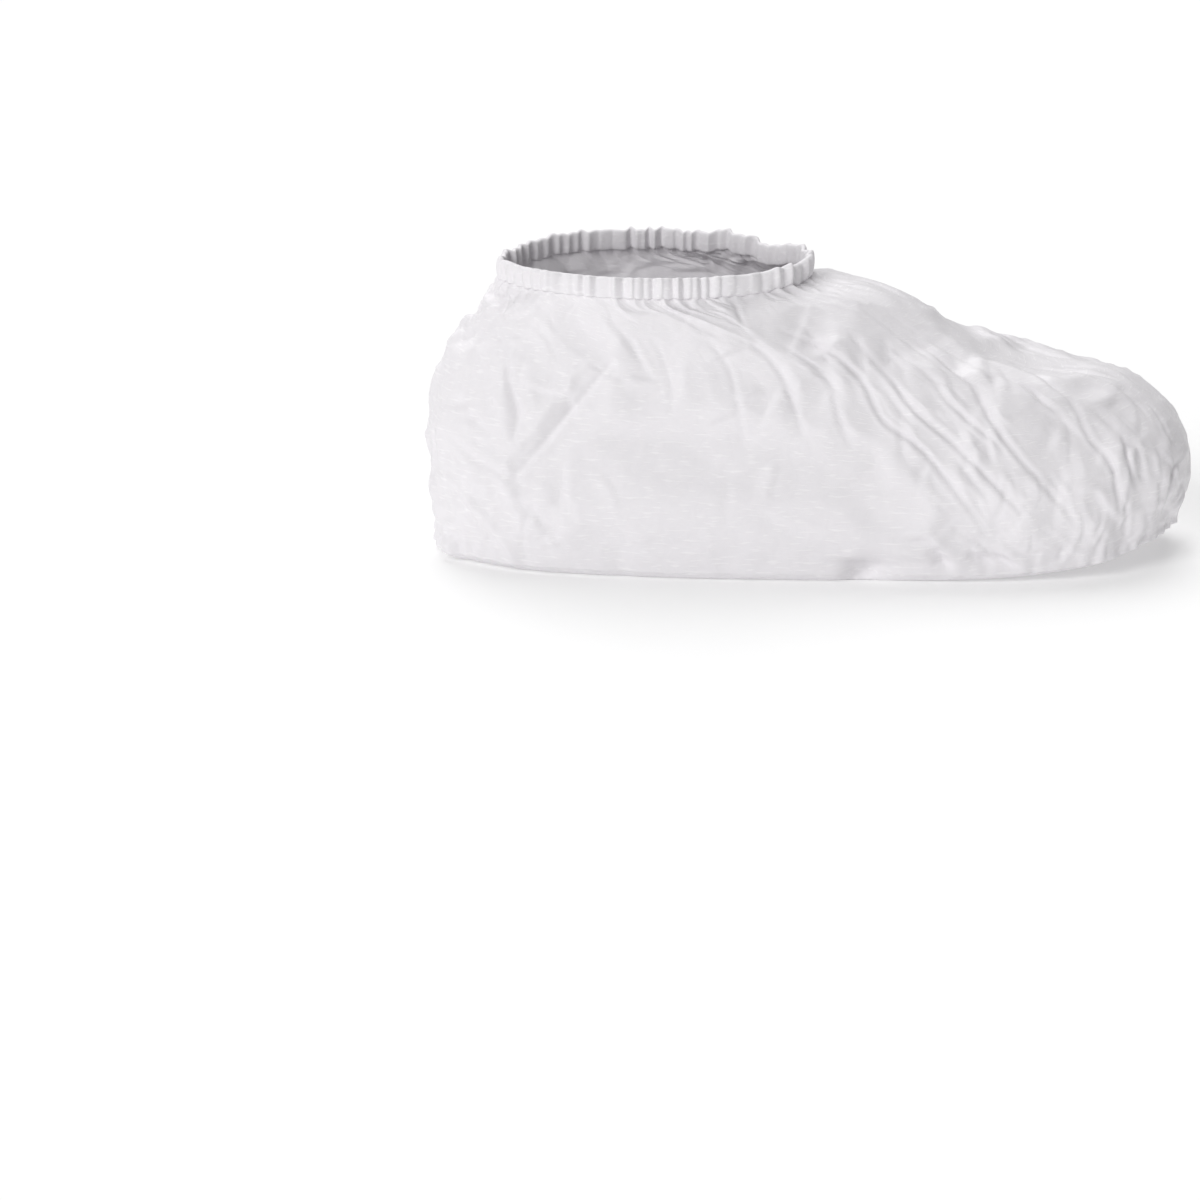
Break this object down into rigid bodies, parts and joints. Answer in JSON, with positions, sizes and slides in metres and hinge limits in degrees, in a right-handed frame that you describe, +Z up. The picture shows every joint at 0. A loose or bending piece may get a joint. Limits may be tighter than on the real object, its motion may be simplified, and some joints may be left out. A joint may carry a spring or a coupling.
{
  "type": "shoe cover",
  "caption": "Soft white nonwoven cover slipped over a low shoe: round toe, tension folds fanning from the ankle, gathered elastic opening and a sewn-on sole panel.",
  "frame": {"origin": "on the floor, under the middle of the bounding box", "axes": "+X towards the toe, +Z up, -Y the inner side of the foot"},
  "size_m": [0.32, 0.1171, 0.1286],
  "materials": {
    "white_nonwoven": "matte to slightly satin, with a fine pressed texture"
  },
  "bodies": {
    "root": {"upper": "white_nonwoven", "sole": "white_nonwoven", "ankle_hem": "white_nonwoven"}
  },
  "joints": []
}
